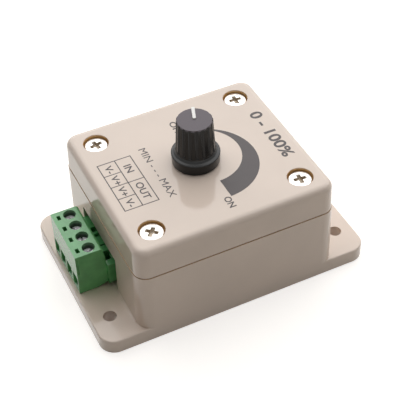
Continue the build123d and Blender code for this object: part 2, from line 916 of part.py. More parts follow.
def knob_outline():
    """Half of the knob's section: skirt, hollow flare and tapering barrel."""
    rim = (knob_skirt_radius, skirt_top - knob_rim_round)
    edge = (knob_skirt_radius - knob_rim_round, skirt_top)
    foot = (knob_barrel_foot_radius, barrel_foot)
    sag = (
        knob_barrel_foot_radius + knob_flare_sag_out * (knob_skirt_radius - knob_barrel_foot_radius),
        skirt_top + knob_flare_sag_up * knob_flare_height,
    )
    shoulder = (knob_top_radius, knob_top - knob_top_round)
    crown = (knob_top_radius - knob_top_round, knob_top)
    lines = [
        Polyline((0, knob_bottom), (knob_skirt_foot_radius, knob_bottom), rim, edge),
        ThreePointArc(edge, sag, foot),
        Polyline(foot, shoulder, crown, (0, knob_top), (0, knob_bottom)),
    ]
    return make_face(Plane.XZ * (Curve() + lines))


def flute():
    """One round-bottomed groove that runs up the barrel along its taper."""
    foot = knob_barrel_foot_radius + flute_radius - flute_depth
    lean = degrees(atan((knob_barrel_foot_radius - knob_top_radius) / (knob_top - barrel_foot)))
    length = knob_top - barrel_foot + flute_run_out
    return Pos(foot, 0, barrel_foot) * Rot(0, -lean, 0) * Cylinder(flute_radius, length, align=z_up)


def pointer_blank():
    """The white inlay: a bar across the top that turns down the side of the barrel."""
    foot = knob_barrel_foot_radius + pointer_overhang
    head = knob_top_radius + pointer_overhang
    outline = [
        (pointer_start, knob_top + pointer_stand),
        (head, knob_top + pointer_stand),
        (foot, barrel_foot),
        (foot - pointer_depth, barrel_foot),
        (head - pointer_depth, knob_top - pointer_depth),
        (pointer_start, knob_top - pointer_depth),
    ]
    return side_profile(outline, pointer_width, 0)


def knob():
    body = revolve(knob_outline(), Axis.Z)
    for i in range(flute_count):
        body -= Rot(0, 0, i * 360 / flute_count) * flute()
    body -= pointer_blank()
    body = Rot(0, 0, pointer_angle) * body
    body -= rod(0, 0, knob_bottom, nut_top + knob_hollow_gap, knob_hollow_radius)
    body -= rod(0, 0, nut_top, bushing_top + knob_hollow_gap, knob_neck_radius)
    shaft_hole_radius = shaft_radius + knob_shaft_clearance
    return body - rod(0, 0, bushing_top, shaft_top + knob_shaft_end_gap, shaft_hole_radius)


def knob_pointer():
    return Rot(0, 0, pointer_angle) * pointer_blank()


# Power transistor


def transistor_body():
    back = heat_sink_face_y - transistor_tab_thickness
    half = transistor_width / 2
    body = block(
        transistor_x - half,
        transistor_x + half,
        back - transistor_body_depth,
        back,
        transistor_bottom,
        transistor_bottom + transistor_body_height,
    )
    front = body.faces().sort_by(Axis.Y)[0]
    return chamfer(front.edges(), transistor_body_chamfer)


def transistor_tab():
    half = transistor_width / 2
    top = transistor_bottom + transistor_tab_height
    tab = block(
        transistor_x - half,
        transistor_x + half,
        heat_sink_face_y - transistor_tab_thickness,
        heat_sink_face_y,
        transistor_bottom,
        top,
    )
    tab = chamfer(tab.edges().filter_by(Axis.Y).sort_by(Axis.Z)[-2:], transistor_tab_chamfer)
    hole = Rot(90, 0, 0) * Cylinder(transistor_tab_hole_radius, 2 * transistor_tab_thickness)
    return tab - Pos(transistor_x, heat_sink_face_y, tab_hole_height) * hole


def transistor_leads():
    half = transistor_lead_width / 2
    depth = transistor_lead_thickness
    y = heat_sink_face_y - transistor_tab_thickness
    return [
        block(x - half, x + half, y - depth, y, lead_end, transistor_bottom)
        for x in [transistor_x + i * transistor_lead_pitch for i in (-1, 0, 1)]
    ]


def heat_sink():
    half = heat_sink_width / 2
    back = heat_sink_face_y + heat_sink_plate
    top = board_top + heat_sink_height
    sink = block(transistor_x - half, transistor_x + half, heat_sink_face_y, back, board_top, top)
    step = (heat_sink_width - heat_sink_fin_thickness) / (heat_sink_fins - 1)
    for i in range(heat_sink_fins):
        x = transistor_x - half + i * step
        sink += block(x, x + heat_sink_fin_thickness, back, back + heat_sink_fin_length, board_top, top)
    hole = Rot(90, 0, 0) * Cylinder(heat_sink_screw_radius + thread_clearance, 2 * heat_sink_plate)
    return sink - Pos(transistor_x, heat_sink_face_y, tab_hole_height) * hole


def heat_sink_screw():
    screw = pan_head_screw(
        heat_sink_screw_radius,
        transistor_tab_thickness + heat_sink_plate + heat_sink_screw_end,
        heat_sink_screw_head_radius,
        heat_sink_screw_head_height,
        heat_sink_screw_head_round,
    )
    screw -= cross_recess(
        heat_sink_screw_head_height,
        heat_sink_recess_length,
        heat_sink_recess_width,
        heat_sink_recess_depth,
    )
    front = heat_sink_face_y - transistor_tab_thickness
    return Pos(transistor_x, front, tab_hole_height) * Rot(90, 0, 0) * screw


# Small parts


def timer_chip():
    x, y = chip_place
    bottom = board_top + chip_stand
    top = bottom + chip_height
    end = x - chip_length / 2
    body = block(end, x + chip_length / 2, y - chip_width / 2, y + chip_width / 2, bottom, top)
    body = chamfer(body.faces().sort_by(Axis.Z)[-1].edges(), chip_edge_chamfer)
    return body - rod(end, y, top - chip_notch_depth, top, chip_notch_radius)


def chip_leads():
    x, y = chip_place
    height = board_top + chip_stand + chip_height / 2
    top = height + chip_lead_thickness
    leads = []
    for i in (-1.5, -0.5, 0.5, 1.5):
        x0 = x + i * chip_lead_pitch - chip_lead_width / 2
        x1 = x0 + chip_lead_width
        for side in (-1, 1):
            row = chip_row_spacing / 2 - chip_lead_thickness / 2
            edge = y + side * chip_width / 2
            inner = y + side * row
            outer = y + side * (row + chip_lead_thickness)
            lead = block(x0, x1, min(edge, outer), max(edge, outer), height, top)
            lead += block(x0, x1, min(inner, outer), max(inner, outer), lead_end, top)
            leads.append(lead)
    return leads


def filter_capacitor():
    x, y = can_capacitor_place
    top = board_top + can_capacitor_height
    can = rod(x, y, board_top, top, can_capacitor_radius)
    can = fillet(can.faces().sort_by(Axis.Z)[-1].edges(), can_capacitor_round)
    bead = Torus(can_capacitor_radius + can_capacitor_groove, 2 * can_capacitor_groove)
    can -= Pos(x, y, board_top + can_capacitor_groove_height) * bead
    score = Box(can_capacitor_radius, can_capacitor_score_width, can_capacitor_score_depth, align=z_down)
    for turn in (0, 90):
        can -= Pos(x, y, top) * Rot(0, 0, turn) * score
    for side in (-1, 1):
        can += rod(x + side * can_capacitor_pitch / 2, y, lead_end, board_top, part_lead_radius)
    return can


def film_capacitors():
    bottom = board_top + seat_gap
    body = rounded_block(
        film_capacitor_length,
        film_capacitor_width,
        film_capacitor_round,
        bottom,
        bottom + film_capacitor_height,
    )
    for side in (-1, 1):
        body += rod(side * film_capacitor_pitch / 2, 0, lead_end, bottom, part_lead_radius)
    return [Pos(x, y, 0) * body for x, y in film_capacitor_places]


def axial_part(body, radius):
    """A round body that lies along X on the board, over the middle of its bent wire."""
    height = board_top + seat_gap + radius
    half = resistor_pitch / 2
    return Pos(0, 0, height) * body + bent_lead(-half, half, 0, height, part_lead_radius)


def resistors():
    body = Cylinder(resistor_waist_radius, resistor_length, rotation=(0, 90, 0))
    end = Cylinder(resistor_radius, resistor_end_length, rotation=(0, 90, 0))
    end = chamfer(end.edges(), resistor_end_chamfer)
    for side in (-1, 1):
        body += Pos(side * (resistor_length - resistor_end_length) / 2, 0, 0) * end
    part = axial_part(body, resistor_radius)
    return [Pos(x, resistor_row_y, 0) * Rot(0, 0, 90) * part for x in resistor_columns]


def diode():
    part = axial_part(Cylinder(diode_radius, diode_length, rotation=(0, 90, 0)), diode_radius)
    return Pos(diode_x, diode_y, 0) * Rot(0, 0, 90) * part


def write(name, shape):
    """Write one node; a list becomes one node of separate solids."""
    if isinstance(shape, list):
        solids = [solid for piece in shape for solid in piece.solids()]
        shape = Compound(solids)
    export_step(shape, f"parts/{name}.step")


os.makedirs("parts", exist_ok=True)
nodes = {
    "base": base,
    "lid": lid,
    "lid_screws": lid_screws,
    "circuit_board": circuit_board,
    "board_screws": board_screws,
    "header_housing": header_housing,
    "header_pins": header_pins,
    "plug_housing": plug_housing,
    "plug_contacts": plug_contacts,
    "pot_plate": pot_plate,
    "pot_can": pot_can,
    "pot_element": pot_element,
    "pot_terminals": pot_terminals,
    "pot_shaft": pot_shaft,
    "pot_wiper": pot_wiper,
    "pot_washer": pot_washer,
    "pot_nut": pot_nut,
    "control_wires": control_wires,
    "knob": knob,
    "knob_pointer": knob_pointer,
    "transistor_body": transistor_body,
    "transistor_tab": transistor_tab,
    "transistor_leads": transistor_leads,
    "heat_sink": heat_sink,
    "heat_sink_screw": heat_sink_screw,
    "timer_chip": timer_chip,
    "chip_leads": chip_leads,
    "filter_capacitor": filter_capacitor,
    "film_capacitors": film_capacitors,
    "resistors": resistors,
    "diode": diode,
}
for node_name, make in nodes.items():
    write(node_name, make())
for number, (place, slot_turn) in enumerate(zip(pole_places, clamp_screw_turns), start=1):
    write(f"clamp_screw_{number}", clamp_screw(place, slot_turn))
    write(f"clamp_cage_{number}", clamp_cage(place))
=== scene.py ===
"""The finishes, print, fastener threads, studio and camera of a rotary light dimmer."""

import logging
import math
from dataclasses import dataclass, field
from enum import Enum
from typing import Any, Iterable, Sequence

import bmesh
import bpy
from bmesh.types import BMesh
from bpy.types import ID, Material, Mesh, Node, NodeSocket, NodeTree, Object
from mathutils import Matrix, Vector


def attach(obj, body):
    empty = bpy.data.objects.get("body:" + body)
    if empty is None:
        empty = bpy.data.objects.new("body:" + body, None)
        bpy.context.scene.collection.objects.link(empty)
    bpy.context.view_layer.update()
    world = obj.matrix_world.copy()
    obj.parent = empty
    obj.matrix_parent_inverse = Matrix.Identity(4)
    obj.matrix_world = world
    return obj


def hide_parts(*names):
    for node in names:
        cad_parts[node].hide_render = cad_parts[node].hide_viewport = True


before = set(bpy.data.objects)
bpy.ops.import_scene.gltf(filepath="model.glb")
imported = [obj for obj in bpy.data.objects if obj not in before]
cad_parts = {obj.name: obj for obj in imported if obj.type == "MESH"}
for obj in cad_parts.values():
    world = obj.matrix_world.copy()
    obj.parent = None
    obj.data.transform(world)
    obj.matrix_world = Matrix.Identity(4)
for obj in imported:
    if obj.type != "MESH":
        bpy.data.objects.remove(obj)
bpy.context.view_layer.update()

log = logging.getLogger("dimmer")

MM = 0.001
LID_TOP = 35.1 * MM
SCREW_SPACING = (46.9 * MM, 41.1 * MM)
PICTURE_SIDE = 400
FULL = 255.0
SRGB_KNEE = 0.04045
SRGB_SLOPE = 12.92
SRGB_LIFT = 0.055
SRGB_POWER = 2.4
MIX_LOW, MIX_HIGH, MIX_RESULT = 6, 7, 2
CLOUD_DETAIL = 3.0
THREAD_STEPS = 24
RIDGE_CORNERS = 4
SQUARE = ((-1, -1), (1, -1), (1, 1), (-1, 1))
BLOCK_FACES = ((3, 2, 1, 0), (4, 5, 6, 7), (0, 1, 5, 4), (1, 2, 6, 5), (2, 3, 7, 6), (3, 0, 4, 7))

Rgb = tuple[float, float, float]
Point = tuple[float, float, float]
Span = tuple[float, float]


class Body(Enum):
    """The rigid bodies that new pieces ride on."""

    HOUSING = "housing"
    KNOB = "knob"


class Slot(Enum):
    """The material slots listed with new pieces; nothing reads them."""

    STEEL = "bright_steel"
    KNOB = "knob_plastic"
    POINTER = "pointer_plastic"


def linear(colour: Rgb, share: float = 1.0) -> tuple[float, float, float, float]:
    """Turn a display colour into the linear one that a socket holds.

    Args:
        colour: red, green and blue from 0 to 255.
        share: how much of its brightness is kept.

    Returns:
        The linear colour with an alpha of 1.
    """
    bent = []
    for part in colour:
        display = min(FULL, part * share) / FULL
        if display <= SRGB_KNEE:
            bent.append(display / SRGB_SLOPE)
        else:
            bent.append(((display + SRGB_LIFT) / (1 + SRGB_LIFT)) ** SRGB_POWER)
    return (*bent, 1.0)


class Value:
    """A number that varies: one socket of a node tree with the usual arithmetic."""

    def __init__(self, tree: "Tree", socket: NodeSocket) -> None:
        """Wrap a socket of a tree."""
        self.tree = tree
        self.socket = socket

    def _math(self, operation: str, first: Any, second: Any = None, clamp: bool = False) -> "Value":
        """Add a Math node on one or two values or numbers, and return its result."""
        sockets = {0: first} if second is None else {0: first, 1: second}
        return self.tree.value("ShaderNodeMath", {"operation": operation, "use_clamp": clamp}, sockets)

    def __add__(self, other: Any) -> "Value":
        """Sum of two values."""
        return self._math("ADD", self, other)

    __radd__ = __add__

    def __sub__(self, other: Any) -> "Value":
        """Difference of two values."""
        return self._math("SUBTRACT", self, other)

    def __rsub__(self, other: Any) -> "Value":
        """Difference with a plain number first."""
        return self._math("SUBTRACT", other, self)

    def __mul__(self, other: Any) -> "Value":
        """Product of two values."""
        return self._math("MULTIPLY", self, other)

    __rmul__ = __mul__

    def __truediv__(self, other: Any) -> "Value":
        """Quotient of two values."""
        return self._math("DIVIDE", self, other)

    def __abs__(self) -> "Value":
        """The value without its sign."""
        return self._math("ABSOLUTE", self)

    def nearest_whole(self) -> "Value":
        """The nearest whole number."""
        return self._math("ROUND", self)

    def hypot(self, other: "Value") -> "Value":
        """The length of the diagonal over this side and another."""
        return self._math("SQRT", self * self + other * other)

    def clamped(self) -> "Value":
        """The value kept from 0 to 1."""
        return self._math("ADD", self, 0.0, clamp=True)

    def swing(self, width: float) -> "Value":
        """Turn a value around 0.5 into a swing of a given width around 0."""
        return (self - 0.5) * width

    def step(self, low: float, high: float) -> "Value":
        """Rise smoothly from 0 to 1 between two values."""
        sockets = {"Value": self, "From Min": low, "From Max": high}
        return self.tree.value("ShaderNodeMapRange", {"interpolation_type": "SMOOTHSTEP"}, sockets)

    def fall(self, low: float, high: float) -> "Value":
        """Fall smoothly from 1 to 0 between two values."""
        return 1 - self.step(low, high)


class Tree:
    """A node tree under construction."""

    def __init__(self, tree: NodeTree) -> None:
        """Take over a tree."""
        self.tree = tree

    def node(self, kind: str, settings: dict | None = None, sockets: dict | None = None) -> Node:
        """Add a node of any type.

        Args:
            kind: the node's type.
            settings: its own settings, set first.
            sockets: values or links of its inputs, by name or number.

        Returns:
            The node.
        """
        made = self.tree.nodes.new(kind)
        for key, setting in (settings or {}).items():
            setattr(made, key, setting)
        for key, given in (sockets or {}).items():
            self.link(made.inputs[key], given)
        return made

    def link(self, socket: NodeSocket, given: Any) -> None:
        """Give an input a constant, or link it.

        Args:
            socket: the input.
            given: a constant, a socket or a Value.
        """
        source = given.socket if isinstance(given, Value) else given
        if isinstance(source, NodeSocket):
            self.tree.links.new(source, socket)
        else:
            socket.default_value = source

    def value(self, kind: str, settings: dict | None = None, sockets: dict | None = None) -> Value:
        """Add a node and wrap its first visible output."""
        made = self.node(kind, settings, sockets)
        return Value(self, next(out for out in made.outputs if out.enabled))

    def seen(self) -> Value:
        """Tell the rays that are seen from those that only carry light.

        Returns:
            1 for a ray from the camera, off a mirror or through a clear piece, and 0 for any other.
        """
        path = self.node("ShaderNodeLightPath")
        camera, glossy, clear = (
            Value(self, path.outputs[f"Is {kind} Ray"]) for kind in ("Camera", "Glossy", "Transmission")
        )
        return (camera + glossy + clear).clamped()


class Shader(Tree):
    """A material under construction: its surface shader and its Object coordinates."""

    def __init__(self, name: str) -> None:
        """Start a material with one Principled shader.

        Args:
            name: the material's name.
        """
        self.material = bpy.data.materials.new(name)
        self.material.use_nodes = True
        super().__init__(self.material.node_tree)
        self.surface = self.tree.nodes["Principled BSDF"]
        self.coordinates = self.node("ShaderNodeTexCoord").outputs["Object"]

    def noise(self, size: float, detail: float = 2.0, stretch: Point = (1.0, 1.0, 1.0)) -> Value:
        """Add a noise pattern fixed to the piece.

        Args:
            size: the pattern's grain in metres.
            detail: octaves of finer noise.
            stretch: how much finer the pattern is along X, Y and Z.

        Returns:
            The noise, around 0.5.
        """
        scaled = self.node("ShaderNodeMapping", None, {"Vector": self.coordinates, "Scale": stretch})
        sockets = {"Vector": scaled.outputs["Vector"], "Scale": 1 / size, "Detail": detail}
        return self.value("ShaderNodeTexNoise", None, sockets)

    def place(self) -> tuple[Value, Value, Value]:
        """The three Object coordinates in metres."""
        split = self.node("ShaderNodeSeparateXYZ", None, {"Vector": self.coordinates})
        return tuple(Value(self, split.outputs[axis]) for axis in "XYZ")

    def mixed(self, mask: Value, low: Any, high: Any) -> NodeSocket:
        """Mix two colours.

        Args:
            mask: 0 gives the first colour, 1 the second.
            low: the first colour or its socket.
            high: the second.

        Returns:
            The mixed colour's socket.
        """
        sockets = {0: mask, MIX_LOW: low, MIX_HIGH: high}
        return self.node("ShaderNodeMix", {"data_type": "RGBA"}, sockets).outputs[MIX_RESULT]

    def feed(self, key: str, given: Any) -> None:
        """Link what varies to an input of the surface shader."""
        self.link(self.surface.inputs[key], given)

    def fed(self, key: str) -> Value:
        """What an input of the surface shader is linked to."""
        return Value(self, self.surface.inputs[key].links[0].from_socket)

    def tint(self, mask: Value, colour: Any) -> None:
        """Lay a linear colour, or a socket that gives one, over the base colour where a mask is 1."""
        self.feed("Base Color", self.mixed(mask, self.fed("Base Color"), colour))

    def bump(self, height: Value, depth: float, strength: float = 1.0) -> None:
        """Feed a height from 0 to 1 into the surface's normal, its full depth in metres."""
        sockets = {"Height": height, "Distance": depth, "Strength": strength}
        self.feed("Normal", self.node("ShaderNodeBump", None, sockets).outputs["Normal"])

    def set(self, **constants: Any) -> None:
        """Set constants on the surface shader, with underscores for spaces in the names."""
        for key, constant in constants.items():
            self.surface.inputs[key.replace("_", " ")].default_value = constant


@dataclass(frozen=True)
class Finish:
    """What every finish has: a name, a display colour and a roughness."""

    name: str
    colour: Rgb
    roughness: float

    def shader(self) -> Shader:
        """Build the shader, each kind of finish in its own way.

        Returns:
            The shader with all its nodes.
        """
        raise NotImplementedError

    def material(self) -> Material:
        """Build the material."""
        return self.shader().material


@dataclass(frozen=True)
class Plastic(Finish):
    """A moulded plastic: an even colour with faint flow marks and a fine spark-eroded grain."""

    grain: float = 0.35 * MM
    grain_height: float = 0.002 * MM
    grain_gloss: float = 0.4
    mottle: float = 0.05
    mottle_size: float = 9 * MM
    mottle_range: Span = (0.2, 0.8)
    mottle_gloss: float = 0.3
    specular: float = 0.5

    def shader(self) -> Shader:
        """Build the shader with its flow marks and grain."""
        shader = Shader(self.name)
        clouds = shader.noise(self.mottle_size, CLOUD_DETAIL)
        deep, pale = linear(self.colour, 1 - self.mottle), linear(self.colour, 1 + self.mottle)
        shader.feed("Base Color", shader.mixed(clouds.step(*self.mottle_range), deep, pale))
        fine = shader.noise(self.grain)
        unevenness = fine.swing(self.grain_gloss) + clouds.swing(self.mottle_gloss)
        shader.feed("Roughness", self.roughness * (1 + unevenness))
        shader.bump(fine, self.grain_height)
        shader.set(Specular_IOR_Level=self.specular)
        return shader


@dataclass(frozen=True)
class BoxPlastic(Plastic):
    """The box's pale plastic, with painted warm bounce light on the screw recesses' walls and a warmer line
    along the seam of the two shells.
    """

    recess_inner: float = 3.3 * MM
    recess_outer: float = 3.95 * MM
    recess_edge: float = 0.06 * MM
    recess_fade: Span = (34.75 * MM, 35.05 * MM)
    # The colour of the painted bounce light on the screw recesses' walls.
    painted_bounce_colour: Rgb = (232, 188, 128)
    seam_height: float = 25.1 * MM
    seam_fade: Span = (0.072 * MM, 0.12 * MM)
    seam_colour: Rgb = (186, 156, 124)

    def shader(self) -> Shader:
        """Build the shader with the painted bounce light in the recesses and the seam line."""
        shader = super().shader()
        x, y, z = shader.place()
        # Painted light: a warm band on each screw recess's wall stands in for light bounced inside the
        # recess.
        radius = (abs(x) - SCREW_SPACING[0] / 2).hypot(abs(y) - SCREW_SPACING[1] / 2)
        ring = radius.step(self.recess_inner - self.recess_edge, self.recess_inner)
        ring = ring * radius.fall(self.recess_outer, self.recess_outer + self.recess_edge)
        shader.tint(ring * z.fall(*self.recess_fade), linear(self.painted_bounce_colour))
        shader.tint(abs(z - self.seam_height).fall(*self.seam_fade), linear(self.seam_colour))
        return shader


@dataclass(frozen=True)
class ConnectorPlastic(Plastic):
    """The connector's green plastic, duller down the screw shafts, where painted shade darkens its colour.
    """

    shaft_line: float = -37.44 * MM
    first_shaft: float = -4.58 * MM
    pitch: float = 5.08 * MM
    shaft_wall: Span = (2.25 * MM, 2.3 * MM)
    shaft_fade: Span = (18.4 * MM, 20.0 * MM)
    # The colour of the painted shade deep in the screw shafts.
    painted_shade_colour: Rgb = (26, 58, 32)
    deep_roughness: float = 0.5

    def shader(self) -> Shader:
        """Build the shader with the painted shade down the shafts."""
        shader = super().shader()
        x, y, z = shader.place()
        along = y - self.first_shaft
        off = along - (along / self.pitch).nearest_whole() * self.pitch
        # Painted shade: the colour darkens down each screw shaft, standing in for the shade inside it.
        deep = (x - self.shaft_line).hypot(off).fall(*self.shaft_wall) * z.fall(*self.shaft_fade)
        shader.tint(deep, linear(self.painted_shade_colour))
        shader.feed("Roughness", (shader.fed("Roughness") + deep * self.deep_roughness).clamped())
        return shader


@dataclass(frozen=True)
class KnobPlastic(Plastic):
    """Glossy black plastic whose flat crown has the mould's matt grain."""

    crown_rise: Span = (50.0 * MM, 50.1 * MM)
    crown_colour: Rgb = (98, 91, 96)
    crown_roughness: float = 0.55
    crown_grain: float = 0.25 * MM
    crown_gloss: float = 0.2

    def shader(self) -> Shader:
        """Build the shader with the paler matt crown."""
        shader = super().shader()
        crown = shader.place()[2].step(*self.crown_rise)
        shader.tint(crown, linear(self.crown_colour))
        speckle = shader.noise(self.crown_grain, CLOUD_DETAIL)
        matt = self.crown_roughness + speckle.swing(self.crown_gloss)
        shader.feed("Roughness", shader.fed("Roughness") * (1 - crown) + matt * crown)
        return shader


@dataclass(frozen=True)
class Metal(Finish):
    """A plated or bare metal with fine rolling marks and a few dull spots."""

    marks: Point = (1.0, 6.0, 1.0)
    marks_size: float = 0.5 * MM
    marks_height: float = 0.003 * MM
    marks_gloss: float = 0.15
    spots_size: float = 2 * MM
    spots_range: Span = (0.35, 0.7)
    spots_gloss: float = 0.1
    dullness: float = 0.12

    def shader(self) -> Shader:
        """Build the shader with its marks and spots."""
        shader = Shader(self.name)
        lines = shader.noise(self.marks_size, CLOUD_DETAIL, self.marks)
        spots = shader.noise(self.spots_size)
        dull = linear(self.colour, 1 - self.dullness)
        shader.feed("Base Color", shader.mixed(spots.step(*self.spots_range), linear(self.colour), dull))
        unevenness = lines.swing(self.marks_gloss) + spots.swing(self.spots_gloss)
        shader.feed("Roughness", self.roughness + unevenness)
        shader.bump(lines, self.marks_height)
        shader.set(Metallic=1.0)
        return shader


@dataclass(frozen=True)
class ScrewSteel(Metal):
    """Zinc plated steel whose driver recess turns duller with depth, in a painted brownish tone that stands
    in for the light inside the recess.
    """

    recess_fade: Span = (34.06 * MM, 34.24 * MM)
    # The painted light in the driver recess: its colour, the darker share of its patches, and their noise.
    painted_recess_colour: Rgb = (206, 188, 164)
    painted_recess_share: float = 0.72
    painted_recess_patch_size: float = 0.5 * MM
    painted_recess_patch_range: Span = (0.35, 0.65)

    def shader(self) -> Shader:
        """Build the shader with the painted light in the recess."""
        shader = super().shader()
        # Painted light: down the recess the metal gives way to a lighter brownish tone in random patches,
        # standing in for light inside it.
        depth = shader.place()[2].fall(*self.recess_fade)
        painted_recess_patches = shader.noise(self.painted_recess_patch_size).step(*self.painted_recess_patch_range)
        painted_recess_tone = shader.mixed(painted_recess_patches, linear(self.painted_recess_colour), linear(self.painted_recess_colour, self.painted_recess_share))
        shader.tint(depth, painted_recess_tone)
        shader.feed("Metallic", 1 - depth)
        return shader


@dataclass(frozen=True)
class Ink(Finish):
    """Screen printed ink: dense, slightly uneven and a little duller than the plastic."""

    mesh_size: float = 0.18 * MM
    mesh_share: float = 0.6
    mesh_height: float = 0.002 * MM
    mesh_gloss: float = 0.15
    cloud_size: float = 3 * MM
    thin_range: Span = (0.35, 0.7)
    thin_share: float = 1.12

    def shader(self) -> Shader:
        """Build the shader with the printing mesh's marks."""
        shader = Shader(self.name)
        mesh, clouds = shader.noise(self.mesh_size), shader.noise(self.cloud_size)
        thin = (mesh * self.mesh_share + clouds * (1 - self.mesh_share)).step(*self.thin_range)
        dense, pale = linear(self.colour), linear(self.colour, self.thin_share)
        shader.feed("Base Color", shader.mixed(thin, dense, pale))
        shader.feed("Roughness", self.roughness + mesh.swing(self.mesh_gloss))
        shader.bump(mesh, self.mesh_height)
        return shader


@dataclass(frozen=True)
class Laminate(Finish):
    """Lacquered circuit board: tracks show through the lacquer as paler lanes."""

    track_colour: Rgb
    lane: float = 2.54 * MM
    bend_size: float = 9 * MM
    bend_width: float = 4 * MM
    block_share: float = 0.92
    track_width: float = 0.12
    track_edge: float = 0.1
    track_height: float = 0.03 * MM
    track_strength: float = 0.5
    weave_size: float = 0.4 * MM
    weave_gloss: float = 0.2

    def shader(self) -> Shader:
        """Build the shader with its tracks and glass weave."""
        shader = Shader(self.name)
        x, y, _ = shader.place()
        bend = shader.noise(self.bend_size, 0.0) * self.bend_width
        lanes = shader.node("ShaderNodeCombineXYZ", None, {"X": x / self.lane, "Y": (y + bend) / self.lane})
        sockets = {
            "Vector": lanes.outputs["Vector"],
            "Scale": 1.0,
            "Color1": linear(self.colour),
            "Color2": linear(self.colour, self.block_share),
            "Mortar": linear(self.track_colour),
            "Mortar Size": self.track_width,
            "Mortar Smooth": self.track_edge,
        }
        cells = shader.node("ShaderNodeTexBrick", None, sockets)
        shader.feed("Base Color", cells.outputs["Color"])
        shader.feed("Roughness", self.roughness + shader.noise(self.weave_size).swing(self.weave_gloss))
        shader.bump(Value(shader, cells.outputs["Fac"]), self.track_height, self.track_strength)
        return shader


@dataclass(frozen=True)
class Banded(Finish):
    """Lacquer with coloured value bands round the body, which lies along Y."""

    bands: tuple[tuple[float, Rgb], ...]
    centre: float
    length: float
    band_width: float = 0.55 * MM
    band_edge: float = 0.04 * MM
    cloud_size: float = 1 * MM
    cloud_height: float = 0.02 * MM
    cloud_gloss: float = 0.15

    def shader(self) -> Shader:
        """Build the shader with its bands."""
        shader = Shader(self.name)
        along = shader.place()[1] - self.centre
        half = self.band_width / 2
        colour: Any = linear(self.colour)
        for share, band_colour in self.bands:
            band = abs(along - share * self.length).fall(half - self.band_edge, half + self.band_edge)
            colour = shader.mixed(band, colour, linear(band_colour))
        shader.feed("Base Color", colour)
        clouds = shader.noise(self.cloud_size)
        shader.feed("Roughness", self.roughness + clouds.swing(self.cloud_gloss))
        shader.bump(clouds, self.cloud_height)
        return shader


@dataclass(frozen=True)
class Finishes:
    """Every finish of the dimmer, one field each."""

    box: BoxPlastic = BoxPlastic("box_plastic", (225, 208, 194), 0.1, mottle=0.012, mottle_size=16 * MM)
    connector: ConnectorPlastic = ConnectorPlastic(
        "connector_plastic", (88, 162, 98), 0.22, grain_height=0.0008 * MM, mottle_size=3 * MM,
        specular=0.7,
    )
    knob: KnobPlastic = KnobPlastic("knob_plastic", (17, 17, 17), 0.24, mottle=0.1, specular=0.35)
    pointer: Plastic = Plastic("pointer_plastic", (240, 238, 234), 0.35, mottle=0.02)
    ink: Ink = Ink("lid_ink", (52, 43, 43), 0.42)
    steel: ScrewSteel = ScrewSteel("bright_steel", (238, 235, 230), 0.32)
    clamp_steel: Metal = Metal("clamp_steel", (246, 242, 246), 0.42)
    inner_steel: Metal = Metal("inner_steel", (215, 213, 208), 0.32)
    tinned: Metal = Metal("tinned_copper", (205, 200, 186), 0.36)
    plated: Metal = Metal("plated_steel", (190, 190, 188), 0.3)
    sink: Metal = Metal("sink_aluminium", (78, 78, 82), 0.45, marks=(6.0, 6.0, 0.6))
    board: Laminate = Laminate("board_laminate", (28, 92, 52), 0.3, (58, 126, 74))
    element: Plastic = Plastic("element_laminate", (98, 64, 40), 0.5, mottle=0.12, mottle_size=1.5 * MM)
    sleeve: Plastic = Plastic("wire_sleeve", (182, 40, 34), 0.4, mottle_size=3 * MM)
    resin: Plastic = Plastic("black_resin", (34, 34, 36), 0.5, mottle=0.15, mottle_size=2 * MM)
    can: Plastic = Plastic("capacitor_sleeve", (30, 33, 66), 0.3, mottle=0.1, mottle_size=3 * MM)
    dipped: Plastic = Plastic("capacitor_case", (158, 60, 38), 0.32, mottle=0.1, mottle_size=2 * MM)
    shaft: Plastic = Plastic("shaft_plastic", (206, 202, 190), 0.45, mottle=0.04, mottle_size=3 * MM)
    resistor: Banded = Banded(
        "resistor_coat",
        (196, 170, 128),
        0.28,
        ((-0.36, (120, 72, 30)), (-0.14, (20, 20, 20)), (0.04, (200, 90, 30)), (0.36, (190, 150, 60))),
        -6 * MM,
        6.3 * MM,
    )
    diode: Banded = Banded("diode_resin", (34, 34, 36), 0.28, ((0.36, (200, 200, 200)),), 0.0, 5.2 * MM)


def dress(obj: Object, material: Material) -> None:
    """Give every face of an object one material.

    Args:
        obj: the mesh object.
        material: its material.
    """
    if not obj.material_slots:
        obj.data.materials.append(material)
    for place in obj.material_slots:
        place.material = material


def dress_nodes(finish: Finish, *names: str) -> list[Object]:
    """Give some CAD pieces one finish.

    Args:
        finish: their finish.
        names: the pieces' nodes.

    Returns:
        The pieces.
    """
    material = finish.material()
    pieces = [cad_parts[name] for name in names]
    for piece in pieces:
        dress(piece, material)
    return pieces


def link_object(name: str, content: ID) -> Object:
    """Put a mesh, text, lamp or camera into the scene as an object at the origin."""
    obj = bpy.data.objects.new(name, content)
    bpy.context.scene.collection.objects.link(obj)
    return obj


def evaluated_mesh(obj: Object) -> Mesh:
    """Apply an object's modifiers.

    Args:
        obj: the object.

    Returns:
        The plain mesh, as one of its own.
    """
    bpy.context.view_layer.update()
    graph = bpy.context.evaluated_depsgraph_get()
    return bpy.data.meshes.new_from_object(obj.evaluated_get(graph), depsgraph=graph)


def bake(obj: Object) -> None:
    """Replace an object's mesh by its evaluated one and drop the modifiers."""
    mesh = evaluated_mesh(obj)
    obj.modifiers.clear()
    obj.data = mesh


def mesh_from(work: BMesh, name: str) -> Mesh:
    """Turn a mesh under construction into a finished one.

    Args:
        work: what is under construction, freed here.
        name: the mesh's name.

    Returns:
        The mesh.
    """
    mesh = bpy.data.meshes.new(name)
    work.to_mesh(mesh)
    work.free()
    return mesh


def smooth(mesh: Mesh, angle: float) -> None:
    """Shade a mesh smoothly, except where its faces meet more sharply than an angle in degrees."""
    mesh.shade_smooth()
    mesh.set_sharp_from_angle(angle=math.radians(angle))


